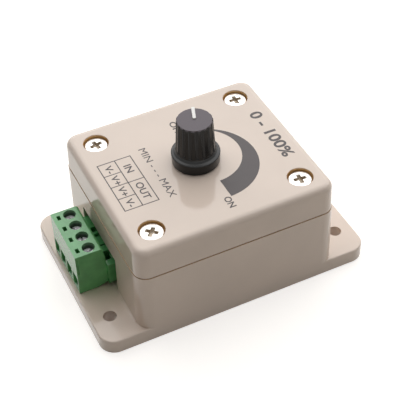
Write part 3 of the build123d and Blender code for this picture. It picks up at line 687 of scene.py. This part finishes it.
@dataclass(frozen=True)
class SoftenedPart:
    """A copy of a CAD piece whose sharp edges get the small radius that moulding leaves."""

    node: str
    body: Body
    width: float
    slot: Slot
    segments: int = 2
    sharp_angle: float = 32.0
    flat_angle: float = 0.4
    shortest_edge: float = 0.3 * MM
    same_point: float = 0.0005 * MM

    def mark(self, work: BMesh) -> None:
        """Give the outward sharp edges, apart from the shortest, their bevel weight.

        Args:
            work: the piece's mesh.
        """
        weights = work.edges.layers.float.new("bevel_weight_edge")
        sharp = math.radians(self.sharp_angle)
        for edge in work.edges:
            outward = len(edge.link_faces) == 2 and edge.calc_face_angle_signed(0.0) > sharp
            if outward and edge.calc_length() > self.shortest_edge:
                edge[weights] = 1.0

    def build(self) -> Object:
        """Make the copy and let it stand for the CAD piece.

        Returns:
            The softened piece.
        """
        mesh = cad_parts[self.node].data.copy()
        work = bmesh.new()
        work.from_mesh(mesh)
        bmesh.ops.remove_doubles(work, verts=work.verts[:], dist=self.same_point)
        flat = math.radians(self.flat_angle)
        bmesh.ops.dissolve_limit(work, angle_limit=flat, verts=work.verts[:], edges=work.edges[:])
        self.mark(work)
        work.to_mesh(mesh)
        work.free()
        smooth(mesh, self.sharp_angle)
        piece = link_object(f"{self.node}_moulded", mesh)
        bevel = piece.modifiers.new("edges", "BEVEL")
        bevel.width = self.width
        bevel.segments = self.segments
        bevel.limit_method = "WEIGHT"
        bevel.miter_outer = "MITER_ARC"
        weighted = piece.modifiers.new("normals", "WEIGHTED_NORMAL")
        weighted.keep_sharp = True
        bake(piece)
        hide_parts(self.node)
        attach(piece, self.body.value)
        return piece


class GeometryTree(Tree):
    """A Geometry Nodes tree under construction, with named inputs."""

    def __init__(self, name: str, inputs: dict[str, tuple[str, Any]]) -> None:
        """Start a tree.

        Args:
            name: the tree's name.
            inputs: each named input's socket type and first value.
        """
        super().__init__(bpy.data.node_groups.new(name, "GeometryNodeTree"))
        self.keys: dict[str, str] = {}
        face = self.tree.interface
        face.new_socket(name="Geometry", in_out="INPUT", socket_type="NodeSocketGeometry")
        for key, (kind, first) in inputs.items():
            made = face.new_socket(name=key, in_out="INPUT", socket_type=kind)
            if first is not None:
                made.default_value = first
            self.keys[key] = made.identifier
        face.new_socket(name="Geometry", in_out="OUTPUT", socket_type="NodeSocketGeometry")
        self.entry = self.node("NodeGroupInput")
        self.exit = self.node("NodeGroupOutput")

    def given(self, key: str) -> NodeSocket:
        """The socket of a named input."""
        return self.entry.outputs[key]

    def finish(self, geometry: NodeSocket) -> None:
        """End the tree in Realize Instances and Set Material.

        Args:
            geometry: what the tree has made.
        """
        real = self.node("GeometryNodeRealizeInstances", None, {"Geometry": geometry})
        sockets = {"Geometry": real.outputs["Geometry"], "Material": self.given("Material")}
        painted = self.node("GeometryNodeSetMaterial", None, sockets)
        self.link(self.exit.inputs["Geometry"], painted.outputs["Geometry"])

    def run(self, obj: Object, values: dict[str, Any]) -> None:
        """Run the tree on an object and bake the result.

        Args:
            obj: the object whose geometry goes in.
            values: the named inputs' values.
        """
        modifier = obj.modifiers.new(self.tree.name, "NODES")
        modifier.node_group = self.tree
        for key, setting in values.items():
            modifier[self.keys[key]] = setting
        bake(obj)


def thread_tree() -> GeometryTree:
    """Make the tree that winds a V-shaped ridge round Z, for screw threads.

    Returns:
        The tree. The ridge starts at the foot and rises by the pitch for each turn.
    """
    inputs = {
        "Radius": ("NodeSocketFloat", 1.5 * MM),
        "Depth": ("NodeSocketFloat", 0.3 * MM),
        "Pitch": ("NodeSocketFloat", 1.0 * MM),
        "Turns": ("NodeSocketFloat", 8.0),
        "Foot": ("NodeSocketVector", (0.0, 0.0, 0.0)),
        "Material": ("NodeSocketMaterial", None),
    }
    tree = GeometryTree("thread", inputs)
    numbers = ("Radius", "Depth", "Pitch", "Turns")
    radius, depth, pitch, turns = (Value(tree, tree.given(key)) for key in numbers)
    core = radius - depth
    sockets = {
        "Resolution": THREAD_STEPS,
        "Rotations": turns,
        "Start Radius": core,
        "End Radius": core,
        "Height": pitch * turns,
    }
    helix = tree.node("GeometryNodeCurveSpiral", None, sockets)
    sockets = {"Resolution": RIDGE_CORNERS, "Radius": depth}
    profile = tree.node("GeometryNodeCurvePrimitiveCircle", None, sockets)
    sockets = {"Curve": helix.outputs["Curve"], "Profile Curve": profile.outputs["Curve"], "Fill Caps": True}
    ridge = tree.node("GeometryNodeCurveToMesh", None, sockets)
    sockets = {"Geometry": ridge.outputs["Mesh"], "Translation": tree.given("Foot")}
    placed = tree.node("GeometryNodeTransform", None, sockets)
    joined = tree.node("GeometryNodeJoinGeometry")
    for part in (tree.given("Geometry"), placed.outputs["Geometry"]):
        tree.link(joined.inputs["Geometry"], part)
    tree.finish(joined.outputs["Geometry"])
    return tree


def pattern_tree() -> GeometryTree:
    """Make the tree that sets a copy of a blank on each point, turned by the point's own angle.

    Returns:
        The tree.
    """
    inputs = {
        "Blank": ("NodeSocketObject", None),
        "Material": ("NodeSocketMaterial", None),
    }
    tree = GeometryTree("copies_on_points", inputs)
    points = tree.node("GeometryNodeMeshToPoints", None, {"Mesh": tree.given("Geometry")})
    blank = tree.node("GeometryNodeObjectInfo", None, {"Object": tree.given("Blank")})
    turn = tree.node("GeometryNodeInputNamedAttribute", {"data_type": "FLOAT"}, {"Name": "turn"})
    angles = tree.node("ShaderNodeCombineXYZ", None, {"Z": turn.outputs["Attribute"]})
    sockets = {
        "Points": points.outputs["Points"],
        "Instance": blank.outputs["Geometry"],
        "Rotation": angles.outputs["Vector"],
    }
    copies = tree.node("GeometryNodeInstanceOnPoints", None, sockets)
    tree.finish(copies.outputs["Instances"])
    return tree


def points_object(name: str, places: Sequence[tuple[Vector, float]]) -> Object:
    """Make an object of loose points that carry a turn about Z.

    Args:
        name: the object's name.
        places: each point and its turn in degrees.

    Returns:
        The object.
    """
    mesh = bpy.data.meshes.new(name)
    mesh.from_pydata([tuple(point) for point, _ in places], [], [])
    turns = mesh.attributes.new("turn", "FLOAT", "POINT")
    turns.data.foreach_set("value", [math.radians(turn) for _, turn in places])
    return link_object(name, mesh)


def lathe(profile: Sequence[Span], segments: int) -> Mesh:
    """Turn a closed profile about Z.

    Args:
        profile: radius and height pairs from the top's middle to the foot's middle.
        segments: faces round the axis.

    Returns:
        The closed mesh.
    """
    work = bmesh.new()
    rings = []
    for radius, height in profile:
        if radius == 0:
            rings.append([work.verts.new((0, 0, height))])
            continue
        angles = [2 * math.pi * i / segments for i in range(segments)]
        rings.append([work.verts.new((radius * math.cos(a), radius * math.sin(a), height)) for a in angles])
    for upper, lower in zip(rings, rings[1:]):
        for i in range(segments):
            j = (i + 1) % segments
            places = ((upper, i), (lower, i), (lower, j), (upper, j))
            corners = [ring[place % len(ring)] for ring, place in places]
            work.faces.new(list(dict.fromkeys(corners)))
    bmesh.ops.recalc_face_normals(work, faces=work.faces[:])
    return mesh_from(work, "lathed")


@dataclass
class LidScrews:
    """The four lid screws with flat heads, flared cross recesses and real threads."""

    turns: tuple[float, ...] = (48.0, 11.8, 83.5, 85.0)
    seat: float = 32.9 * MM
    length: float = 14.0 * MM
    head_radius: float = 3.5 * MM
    head_height: float = 1.5 * MM
    head_sink: float = 0.12 * MM
    crown_radius_share: float = 0.55
    crown_sink_share: float = 0.3
    edge_round: float = 0.35 * MM
    edge_turns: tuple[float, ...] = (22.0, 45.0, 68.0, 90.0)
    shank_radius: float = 1.15 * MM
    tip_radius: float = 0.25 * MM
    thread_radius: float = 1.48 * MM
    thread_pitch: float = 1.1 * MM
    thread_foot: float = 2.6 * MM
    plain_length: float = 4.0 * MM
    recess_length: float = 4.1 * MM
    recess_width: float = 1.3 * MM
    recess_depth: float = 1.15 * MM
    recess_overshoot: float = 0.2 * MM
    recess_shares: Span = (0.55, 1.06)
    recess_taper: float = 0.25
    segments: int = 64
    sharp_angle: float = 35.0

    def places(self) -> list[tuple[Vector, float]]:
        """Each screw's seat and turn, from -X -Y to +X +Y."""
        half_x, half_y = SCREW_SPACING[0] / 2, SCREW_SPACING[1] / 2
        seats = [Vector((sx * half_x, sy * half_y, self.seat)) for sx in (-1, 1) for sy in (-1, 1)]
        return list(zip(seats, self.turns))

    def recess(self) -> Object:
        """Make the driver's shape: two crossed wedges, narrower and shorter at the bottom.

        Returns:
            The cutter.
        """
        work = bmesh.new()
        heights = (self.head_height - self.recess_depth, self.head_height + self.recess_overshoot)
        for turn in (0, 90):
            matrix = Matrix.Rotation(math.radians(turn), 4, "Z")
            corners = []
            for height, share in zip(heights, self.recess_shares):
                half_length = self.recess_length / 2 * share
                half_width = self.recess_width / 2 * (1 - self.recess_taper + self.recess_taper * share)
                for sx, sy in SQUARE:
                    corner = Vector((sx * half_length, sy * half_width, height))
                    corners.append(work.verts.new(matrix @ corner))
            for face in BLOCK_FACES:
                work.faces.new([corners[i] for i in face])
        return link_object("driver_cutter", mesh_from(work, "driver"))

    def blank(self) -> Object:
        """Make one screw at the origin with its head above Z 0.

        Returns:
            The screw, still without its thread.
        """
        edge, rim = self.edge_round, self.head_radius - self.edge_round
        shoulder = self.head_height - self.head_sink
        crown_height = self.head_height - self.head_sink * self.crown_sink_share
        profile = [
            (0.0, self.head_height),
            (self.head_radius * self.crown_radius_share, crown_height),
            (rim, shoulder),
        ]
        for turn in map(math.radians, self.edge_turns):
            profile.append((rim + edge * math.sin(turn), shoulder - edge + edge * math.cos(turn)))
        profile += [
            (self.head_radius, 0.0),
            (self.shank_radius, 0.0),
            (self.shank_radius, -self.length + 2 * self.shank_radius),
            (self.tip_radius, -self.length),
            (0.0, -self.length),
        ]
        screw = link_object("lid_screw_blank", lathe(profile, self.segments))
        cutter = self.recess()
        cut = screw.modifiers.new("recess", "BOOLEAN")
        cut.operation = "DIFFERENCE"
        cut.object = cutter
        cut.solver = "EXACT"
        cut.use_self = True
        bake(screw)
        bpy.data.objects.remove(cutter)
        smooth(screw.data, self.sharp_angle)
        return screw

    def build(self, steel: Material) -> Object:
        """Make the four screws as one piece.

        Args:
            steel: the screws' material.

        Returns:
            The piece that stands for the CAD screws.
        """
        blank = self.blank()
        ridge = {
            "Radius": self.thread_radius,
            "Depth": self.thread_radius - self.shank_radius,
            "Pitch": self.thread_pitch,
            "Turns": (self.length - self.plain_length) / self.thread_pitch,
            "Foot": (0.0, 0.0, -self.length + self.thread_foot),
            "Material": steel,
        }
        thread_tree().run(blank, ridge)
        screws = points_object("lid_screws_turned", self.places())
        pattern_tree().run(screws, {"Blank": blank, "Material": steel})
        bpy.data.objects.remove(blank)
        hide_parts("lid_screws")
        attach(screws, Body.HOUSING.value)
        return screws


@dataclass
class Word:
    """One line of print that reads along -Y with its tops towards +X."""

    text: str
    middle: Span
    height: float
    width: float
    weight: float = 0.0
    half_depth: float = 0.5
    resolution: int = 6

    def mesh(self, base: float, thickness: float) -> Mesh:
        """Make the letters as thin closed solids.

        Args:
            base: the height of their underside.
            thickness: the ink's thickness.

        Returns:
            The mesh in its final place.
        """
        letters = bpy.data.curves.new("letters", "FONT")
        letters.body = self.text
        letters.extrude = self.half_depth
        letters.offset = self.weight
        letters.resolution_u = self.resolution
        carrier = link_object("letters", letters)
        mesh = evaluated_mesh(carrier)
        bpy.data.objects.remove(carrier)
        xs, ys = [v.co.x for v in mesh.vertices], [v.co.y for v in mesh.vertices]
        scale_x, scale_y = self.width / (max(xs) - min(xs)), self.height / (max(ys) - min(ys))
        centre = Vector(((max(xs) + min(xs)) / 2, (max(ys) + min(ys)) / 2, 0))
        to_lid = (
            Matrix.Translation((self.middle[0], self.middle[1], base + thickness / 2))
            @ Matrix.Rotation(-math.pi / 2, 4, "Z")
            @ Matrix.Diagonal((scale_x, scale_y, thickness, 1))
            @ Matrix.Translation(-centre)
        )
        mesh.transform(to_lid)
        return mesh


@dataclass
class LidPrint:
    """Everything printed on the lid: the rising crescent, the terminal table and the words."""

    base: float = LID_TOP - 0.004 * MM
    thickness: float = 0.024 * MM
    same_point: float = 0.0008 * MM
    crescent_outer: Point = (1.91 * MM, -2.98 * MM, 15.63 * MM)
    crescent_inner: Point = (2.13 * MM, 0.61 * MM, 11.99 * MM)
    crescent_cut: float = 2.2 * MM
    crescent_steps: int = 96
    table_low: Span = (-27.07 * MM, -10.5 * MM)
    table_high: Span = (-16.64 * MM, 10.55 * MM)
    table_row: float = -21.64 * MM
    table_middle: float = 0.05 * MM
    table_columns: Span = (5.21 * MM, -5.29 * MM)
    line_width: float = 0.3 * MM
    words: tuple[Word, ...] = (
        Word("0 - 100%", (25.3 * MM, 0.25 * MM), 3.95 * MM, 22.6 * MM, 0.024),
        Word("ON", (0.75 * MM, -20.6 * MM), 2.15 * MM, 4.5 * MM, 0.02),
        Word("OFF", (0.75 * MM, 15.9 * MM), 2.15 * MM, 6.1 * MM, 0.02),
        Word("MIN - - - MAX", (-12.35 * MM, 0.3 * MM), 2.2 * MM, 23.0 * MM),
        Word("IN", (-19.1 * MM, 5.5 * MM), 2.3 * MM, 3.4 * MM, 0.016),
        Word("OUT", (-19.1 * MM, -4.95 * MM), 2.3 * MM, 7.3 * MM, 0.016),
        Word("V-", (-24.4 * MM, 7.6 * MM), 2.2 * MM, 3.3 * MM, 0.016),
        Word("V+", (-24.4 * MM, 2.45 * MM), 2.2 * MM, 4.1 * MM, 0.016),
        Word("V+", (-24.4 * MM, -2.75 * MM), 2.2 * MM, 4.1 * MM, 0.016),
        Word("V-", (-24.4 * MM, -8.0 * MM), 2.2 * MM, 3.3 * MM, 0.016),
    )

    def strip(self, work: BMesh, outline: Sequence[Span]) -> None:
        """Add a thin solid over an outline.

        Args:
            work: the mesh that takes it.
            outline: the corners in order, the second half running back beside the first.
        """
        lows = [work.verts.new((x, y, self.base)) for x, y in outline]
        tops = [work.verts.new((x, y, self.base + self.thickness)) for x, y in outline]
        count = len(outline)
        for i in range(count // 2 - 1):
            j = count - 1 - i
            work.faces.new([tops[i], tops[i + 1], tops[j - 1], tops[j]])
            work.faces.new([lows[j], lows[j - 1], lows[i + 1], lows[i]])
        for i in range(count):
            j = (i + 1) % count
            work.faces.new([lows[i], lows[j], tops[j], tops[i]])

    def crescent(self, work: BMesh) -> None:
        """Add the crescent between two eccentric circles, cut square at its thick end.

        Args:
            work: the mesh that takes it.
        """
        start = math.pi / 2
        rings = []
        for cx, cy, radius in (self.crescent_outer, self.crescent_inner):
            end = -math.acos((self.crescent_cut - cx) / radius)
            steps = range(self.crescent_steps + 1)
            angles = [start + (end - start) * i / self.crescent_steps for i in steps]
            rings.append([(cx + radius * math.cos(a), cy + radius * math.sin(a)) for a in angles])
        self.strip(work, rings[0] + rings[1][::-1])

    def bar(self, work: BMesh, low: Span, high: Span) -> None:
        """Add a printed line between two corners."""
        self.strip(work, [low, (high[0], low[1]), high, (low[0], high[1])])

    def table(self, work: BMesh) -> None:
        """Add the ruled table, whose outer columns end at its middle row.

        Args:
            work: the mesh that takes it.
        """
        half = self.line_width / 2
        (x0, y0), (x1, y1) = self.table_low, self.table_high
        rows = (x0, self.table_row, x1)
        for x in rows:
            self.bar(work, (x - half, y0 - half), (x + half, y1 + half))
        spans = [(y, rows) for y in (y0, y1, self.table_middle)]
        spans += [(y, rows[:2]) for y in self.table_columns]
        for y, ends in spans:
            for a, b in zip(ends, ends[1:]):
                self.bar(work, (a + half, y - half), (b - half, y + half))

    def build(self, ink: Material) -> list[Object]:
        """Make the print as two pieces, the ruled shapes and the words.

        Args:
            ink: the ink's material.

        Returns:
            The pieces.
        """
        ruled, lettering = bmesh.new(), bmesh.new()
        self.crescent(ruled)
        self.table(ruled)
        for word in self.words:
            mesh = word.mesh(self.base, self.thickness)
            lettering.from_mesh(mesh)
            bpy.data.meshes.remove(mesh)
        pieces = []
        for name, work in (("lid_print_shapes", ruled), ("lid_print_words", lettering)):
            bmesh.ops.remove_doubles(work, verts=work.verts[:], dist=self.same_point)
            bmesh.ops.recalc_face_normals(work, faces=work.faces[:])
            piece = link_object(name, mesh_from(work, name))
            dress(piece, ink)
            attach(piece, Body.HOUSING.value)
            pieces.append(piece)
        return pieces


@dataclass
class Enclosure:
    """The two box shells, the lid's screws and its print."""

    screws: LidScrews = field(default_factory=LidScrews)
    print: LidPrint = field(default_factory=LidPrint)

    def build(self, finishes: Finishes) -> list[Object]:
        """Make and dress the enclosure.

        Args:
            finishes: the dimmer's finishes.

        Returns:
            Its pieces.
        """
        pieces = dress_nodes(finishes.box, "base", "lid")
        pieces.append(self.screws.build(finishes.steel.material()))
        return pieces + self.print.build(finishes.ink.material())


@dataclass
class Connector:
    """The socket on the board and the pull-off plug with its clamps."""

    poles: int = 4

    def build(self, finishes: Finishes) -> list[Object]:
        """Dress the connector.

        Args:
            finishes: the dimmer's finishes.

        Returns:
            Its two housings.
        """
        housings = dress_nodes(finishes.connector, "header_housing", "plug_housing")
        poles = range(1, self.poles + 1)
        dress_nodes(finishes.clamp_steel, *(f"clamp_screw_{pole}" for pole in poles))
        cages = [f"clamp_cage_{pole}" for pole in poles]
        dress_nodes(finishes.tinned, *cages, "plug_contacts", "header_pins")
        return housings


@dataclass
class Control:
    """The knob and pointer, and the potentiometer that carries them."""

    knob: SoftenedPart = SoftenedPart("knob", Body.KNOB, 0.08 * MM, Slot.KNOB, sharp_angle=38.0)
    pointer: SoftenedPart = SoftenedPart("knob_pointer", Body.KNOB, 0.12 * MM, Slot.POINTER, segments=3)

    def build(self, finishes: Finishes) -> list[Object]:
        """Make and dress the control.

        Args:
            finishes: the dimmer's finishes.

        Returns:
            The knob and its pointer.
        """
        knob, pointer = self.knob.build(), self.pointer.build()
        dress(knob, finishes.knob.material())
        dress(pointer, finishes.pointer.material())
        dress_nodes(finishes.plated, "pot_plate", "pot_can", "pot_washer", "pot_nut")
        dress_nodes(finishes.element, "pot_element")
        dress_nodes(finishes.tinned, "pot_terminals", "pot_wiper")
        dress_nodes(finishes.shaft, "pot_shaft")
        return [knob, pointer]


@dataclass
class Electronics:
    """The board and its components, hidden in the closed box."""

    def build(self, finishes: Finishes) -> list[Object]:
        """Dress the inner pieces.

        Args:
            finishes: the dimmer's finishes.

        Returns:
            The pieces.
        """
        return [
            *dress_nodes(finishes.tinned, "transistor_tab", "transistor_leads", "chip_leads"),
            *dress_nodes(finishes.resin, "transistor_body", "timer_chip"),
            *dress_nodes(finishes.inner_steel, "board_screws", "heat_sink_screw"),
            *dress_nodes(finishes.board, "circuit_board"),
            *dress_nodes(finishes.sleeve, "control_wires"),
            *dress_nodes(finishes.sink, "heat_sink"),
            *dress_nodes(finishes.can, "filter_capacitor"),
            *dress_nodes(finishes.dipped, "film_capacitors"),
            *dress_nodes(finishes.resistor, "resistors"),
            *dress_nodes(finishes.diode, "diode"),
        ]


@dataclass
class SoftBox:
    """A soft rectangular lamp that points at the dimmer."""

    name: str
    place: Point
    width: float
    height: float
    radiance: float
    colour: Rgb = (255, 255, 255)

    def build(self, aim: Vector) -> None:
        """Make the lamp.

        Args:
            aim: the point that it faces.
        """
        lamp = bpy.data.lights.new(self.name, "AREA")
        lamp.shape = "RECTANGLE"
        lamp.size = self.width
        lamp.size_y = self.height
        lamp.energy = self.radiance * math.pi * self.width * self.height
        lamp.color = linear(self.colour)[:3]
        obj = link_object(self.name, lamp)
        obj.location = self.place
        obj.rotation_euler = (aim - Vector(self.place)).to_track_quat("-Z", "Y").to_euler()


@dataclass
class Studio:
    """A pale floor, a white surround, soft lamps and the photograph's camera."""

    floor_size: float = 2.6
    floor_colour: Rgb = (214, 209, 202)
    floor_roughness: float = 0.9
    floor_lift: float = 0.64
    ambient: float = 0.03
    aim: Point = (0.0, 0.0, 0.02)
    camera_place: Point = (-98.804 * MM, -219.892 * MM, 249.402 * MM)
    camera_azimuth: float = -24.377
    camera_elevation: float = 43.753
    camera_roll: float = -2.057
    camera_clip: float = 0.01
    focal_pixels: float = 1096.243
    sensor: float = 36.0
    lamps: tuple[SoftBox, ...] = (
        SoftBox("sky_panel", (0.43, 0.65, 1.25), 3.3, 2.6, 1.75),
        SoftBox("front_fill", (-0.15, -0.8, 0.06), 0.9, 0.3, 0.55, (255, 244, 226)),
    )

    def floor(self) -> None:
        """Make the floor, which takes light and shadow and shows pale to the camera."""
        half = self.floor_size / 2
        mesh = bpy.data.meshes.new("floor")
        mesh.from_pydata([(sx * half, sy * half, 0) for sx, sy in SQUARE], [], [(0, 1, 2, 3)])
        obj = link_object("floor", mesh)
        shader = Shader("floor")
        pale = linear(self.floor_colour)
        shader.set(Base_Color=pale, Roughness=self.floor_roughness, Specular_IOR_Level=0.0)
        glow = shader.node("ShaderNodeEmission", None, {"Strength": shader.seen() * self.floor_lift})
        both = shader.node("ShaderNodeAddShader", None, {0: shader.surface.outputs[0], 1: glow.outputs[0]})
        shader.link(shader.tree.nodes["Material Output"].inputs["Surface"], both.outputs[0])
        dress(obj, shader.material)

    def world(self) -> None:
        """White where it is seen or mirrored, and a weaker fill light elsewhere."""
        world = bpy.data.worlds.new("surround")
        world.use_nodes = True
        bpy.context.scene.world = world
        tree = Tree(world.node_tree)
        sockets = {"Value": tree.seen(), "To Min": self.ambient, "To Max": 1.0}
        background = tree.tree.nodes["Background"]
        tree.link(background.inputs["Color"], (1.0, 1.0, 1.0, 1.0))
        tree.link(background.inputs["Strength"], tree.value("ShaderNodeMapRange", None, sockets))

    def camera(self) -> None:
        """Make the camera at the place, angle and focal length that were fitted to the photograph."""
        azimuth, elevation = math.radians(self.camera_azimuth), math.radians(self.camera_elevation)
        flat = math.cos(elevation)
        back = Vector((math.sin(azimuth) * flat, -math.cos(azimuth) * flat, math.sin(elevation)))
        level = Vector((math.cos(azimuth), math.sin(azimuth), 0.0))
        right = Matrix.Rotation(math.radians(self.camera_roll), 3, back) @ level
        turn = Matrix((right, back.cross(right), back)).transposed().to_4x4()
        data = bpy.data.cameras.new("camera")
        data.sensor_width = self.sensor
        data.lens = self.focal_pixels / PICTURE_SIDE * self.sensor
        data.clip_start = self.camera_clip
        obj = link_object("camera", data)
        obj.matrix_world = Matrix.Translation(self.camera_place) @ turn
        bpy.context.scene.camera = obj

    def build(self) -> None:
        """Set up the whole studio."""
        self.floor()
        self.world()
        for lamp in self.lamps:
            lamp.build(Vector(self.aim))
        self.camera()
        bpy.context.scene.view_settings.view_transform = "Standard"


def report(pieces: Iterable[Object]) -> None:
    """Log each piece with its face count."""
    for piece in pieces:
        log.info("%s: %d faces", piece.name, len(piece.data.polygons))


def main() -> None:
    """Build the dressed dimmer and its studio."""
    logging.basicConfig(level=logging.INFO, format="%(name)s: %(message)s")
    finishes = Finishes()
    for group in (Enclosure(), Connector(), Control(), Electronics()):
        report(group.build(finishes))
    Studio().build()


if __name__ == "__main__":
    main()
